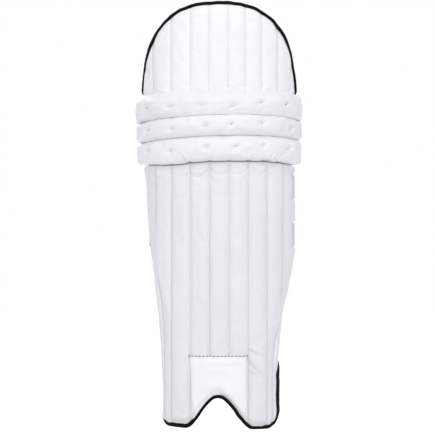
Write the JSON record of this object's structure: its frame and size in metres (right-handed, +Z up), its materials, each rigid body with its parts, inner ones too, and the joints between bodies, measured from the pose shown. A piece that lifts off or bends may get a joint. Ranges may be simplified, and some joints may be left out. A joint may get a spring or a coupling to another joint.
{
  "type": "cricket leg pad",
  "caption": "Quilted batting pad that wraps the shin: channelled shin panel with wings and instep notch, padded knee rolls, thigh flap and rear straps.",
  "frame": {"origin": "on the floor, under the middle of the pad's box, with the pad standing on the two feet of its shin panel", "axes": "+Z up the leg towards the thigh flap, -Y is the front face that meets the ball, +X to the right when looking at the front"},
  "size_m": [0.269, 0.1494, 0.7],
  "materials": {
    "face": "white coated synthetic leather, fine grain, semi-matt",
    "white": "bright white coated synthetic leather, fine grain, satin",
    "lining": "light grey-white knitted lining, matt",
    "binding": "black coated binding tape, satin",
    "filling": "soft fibre and foam filling",
    "padding": "fabric-covered foam, matt",
    "webbing": "white woven webbing strap",
    "tape": "hook and loop tape"
  },
  "bodies": {
    "shin": {"shin_face_cover": "face", "shin_lining": "lining", "shin_filling_1": "filling", "shin_filling_2": "filling", "shin_filling_3": "filling", "shin_filling_4": "filling", "shin_filling_5": "filling", "shin_filling_6": "filling", "shin_filling_7": "filling", "shin_filling_8": "filling", "shin_filling_9": "filling", "shin_binding": "binding", "instep_patch": "white", "inner_bolster": "padding", "outer_bolster": "padding", "ankle_strap_tab": "webbing", "calf_strap_tab": "webbing", "knee_strap_tab": "webbing", "ankle_loop_tape": "tape", "calf_loop_tape": "tape", "knee_loop_tape": "tape"},
    "lower_roll": {"lower_roll_cover": "white", "lower_roll_filling": "filling", "lower_roll_backing": "lining", "lower_knee_cushion": "padding"},
    "middle_roll": {"middle_roll_cover": "white", "middle_roll_filling": "filling", "middle_roll_backing": "lining", "middle_knee_cushion": "padding"},
    "upper_roll": {"upper_roll_cover": "white", "upper_roll_filling": "filling", "upper_roll_backing": "lining", "upper_knee_cushion": "padding"},
    "thigh_flap": {"thigh_face_cover": "white", "thigh_lining": "lining", "thigh_filling_1": "filling", "thigh_filling_2": "filling", "thigh_filling_3": "filling", "thigh_filling_4": "filling", "thigh_filling_5": "filling", "thigh_filling_6": "filling", "thigh_filling_7": "filling", "thigh_filling_8": "filling", "thigh_filling_9": "filling", "thigh_binding": "binding"},
    "ankle_strap_end": {"ankle_strap": "webbing", "ankle_hook_tape": "tape"},
    "calf_strap_end": {"calf_strap": "webbing", "calf_hook_tape": "tape"},
    "knee_strap_end": {"knee_strap": "webbing", "knee_hook_tape": "tape"}
  },
  "joints": [
    {"name": "knee_flex", "type": "hinge", "parent": "shin", "child": "lower_roll", "pos_m": [0, 0.0075, 0.435], "axis": [-1, 0, 0], "range_deg": [0, 8]},
    {"name": "roll_flex_lower", "type": "hinge", "parent": "lower_roll", "child": "middle_roll", "pos_m": [0, 0.0075, 0.474], "axis": [-1, 0, 0], "range_deg": [0, 8]},
    {"name": "roll_flex_upper", "type": "hinge", "parent": "middle_roll", "child": "upper_roll", "pos_m": [0, 0.0075, 0.508], "axis": [-1, 0, 0], "range_deg": [0, 8]},
    {"name": "flap_flex", "type": "hinge", "parent": "upper_roll", "child": "thigh_flap", "pos_m": [0, 0.0075, 0.549], "axis": [-1, 0, 0], "range_deg": [0, 8]},
    {"name": "ankle_strap_swing", "type": "hinge", "parent": "shin", "child": "ankle_strap_end", "pos_m": [-0.0925, 0.0078, 0.158], "axis": [0, 0, 1], "range_deg": [0, 100]},
    {"name": "calf_strap_swing", "type": "hinge", "parent": "shin", "child": "calf_strap_end", "pos_m": [-0.115, 0.0205, 0.318], "axis": [0, 0, 1], "range_deg": [0, 100]},
    {"name": "knee_strap_swing", "type": "hinge", "parent": "shin", "child": "knee_strap_end", "pos_m": [-0.1168, 0.0368, 0.398], "axis": [0, 0, 1], "range_deg": [0, 100]}
  ],
  "couplings": [
    {"joint": "roll_flex_lower", "follows": "knee_flex", "ratio": 1},
    {"joint": "roll_flex_upper", "follows": "knee_flex", "ratio": 1},
    {"joint": "flap_flex", "follows": "knee_flex", "ratio": 1}
  ]
}
